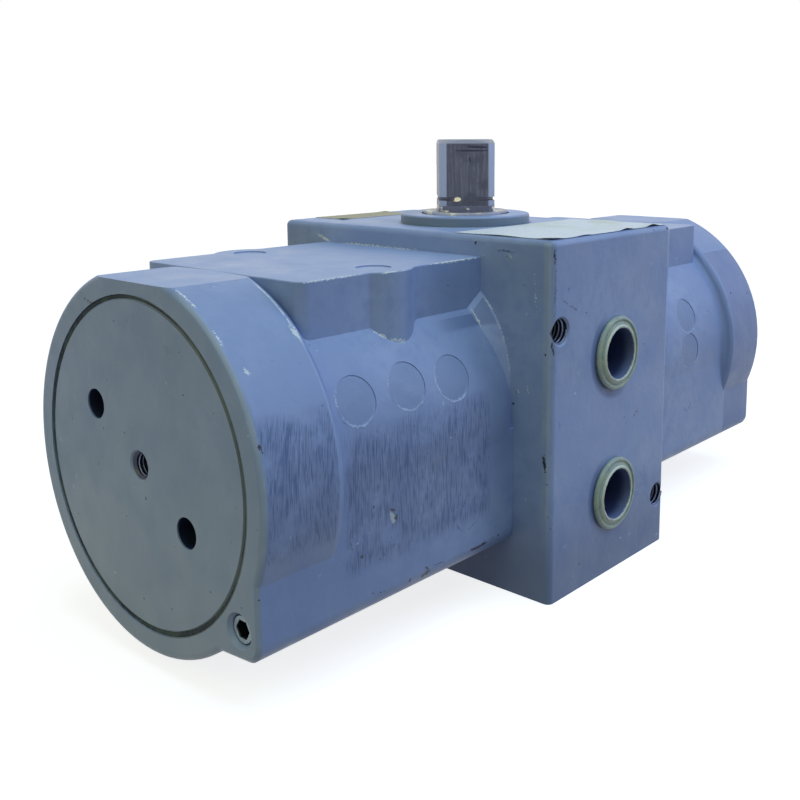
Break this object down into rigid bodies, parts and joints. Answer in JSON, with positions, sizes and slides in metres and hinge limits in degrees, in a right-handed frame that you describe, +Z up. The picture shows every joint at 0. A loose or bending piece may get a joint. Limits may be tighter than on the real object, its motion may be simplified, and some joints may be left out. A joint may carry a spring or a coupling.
{
  "type": "rotary actuator",
  "caption": "Double-acting pneumatic quarter-turn actuator: die-cast block between in-line cylinders, end covers, air ports and a square output shaft driven by racks.",
  "frame": {"origin": "where the output shaft's axis meets the bottom mounting face", "axes": "+Z up along the output shaft to its top square, +X along the cylinders, -Y the side of the air ports"},
  "size_m": [0.293, 0.133, 0.154],
  "materials": {
    "painted_casting": "blue-grey sprayed paint over an aluminium die casting",
    "shaft_steel": "darkened machined steel",
    "plug_steel": "dull zinc-plated steel under thin paint",
    "spring_steel": "phosphated spring steel",
    "piston_aluminium": "die cast, machined on the bearing faces",
    "seal_rubber": "matt nitrile rubber",
    "bearing_plastic": "off-white acetal",
    "protector_plastic": "yellowish-green translucent polyethylene"
  },
  "bodies": {
    "housing": {"housing": "painted_casting", "left_end_cover": "painted_casting", "right_end_cover": "painted_casting", "left_cover_o_ring": "seal_rubber", "right_cover_o_ring": "seal_rubber", "left_lock_wire": "spring_steel", "right_lock_wire": "spring_steel", "left_channel_plug": "plug_steel", "right_channel_plug": "plug_steel", "upper_port_protector": "protector_plastic", "lower_port_protector": "protector_plastic", "top_bush": "bearing_plastic", "bottom_bush": "bearing_plastic", "top_thrust_ring": "bearing_plastic", "bottom_thrust_washer": "spring_steel", "bottom_retaining_ring": "spring_steel"},
    "shaft": {"output_shaft": "shaft_steel", "shaft_top_o_ring": "seal_rubber", "shaft_bottom_o_ring": "seal_rubber"},
    "left_piston": {"left_piston": "piston_aluminium", "left_piston_o_ring": "seal_rubber", "left_guide_band": "bearing_plastic", "left_rack_pad": "bearing_plastic"},
    "right_piston": {"right_piston": "piston_aluminium", "right_piston_o_ring": "seal_rubber", "right_guide_band": "bearing_plastic", "right_rack_pad": "bearing_plastic"}
  },
  "joints": [
    {"name": "shaft_turn", "type": "hinge", "parent": "housing", "child": "shaft", "pos_m": [0, 0, 0.0616], "axis": [0, 0, 1], "range_deg": [-45, 45]},
    {"name": "left_piston_slide", "type": "slide", "parent": "housing", "child": "left_piston", "axis": [1, 0, 0], "range_m": [-0.0178, 0.0178]},
    {"name": "right_piston_slide", "type": "slide", "parent": "housing", "child": "right_piston", "axis": [1, 0, 0], "range_m": [-0.0178, 0.0178]}
  ],
  "couplings": [
    {"joint": "left_piston_slide", "follows": "shaft_turn", "m_per_rad": -0.0225},
    {"joint": "right_piston_slide", "follows": "shaft_turn", "m_per_rad": 0.0225}
  ]
}
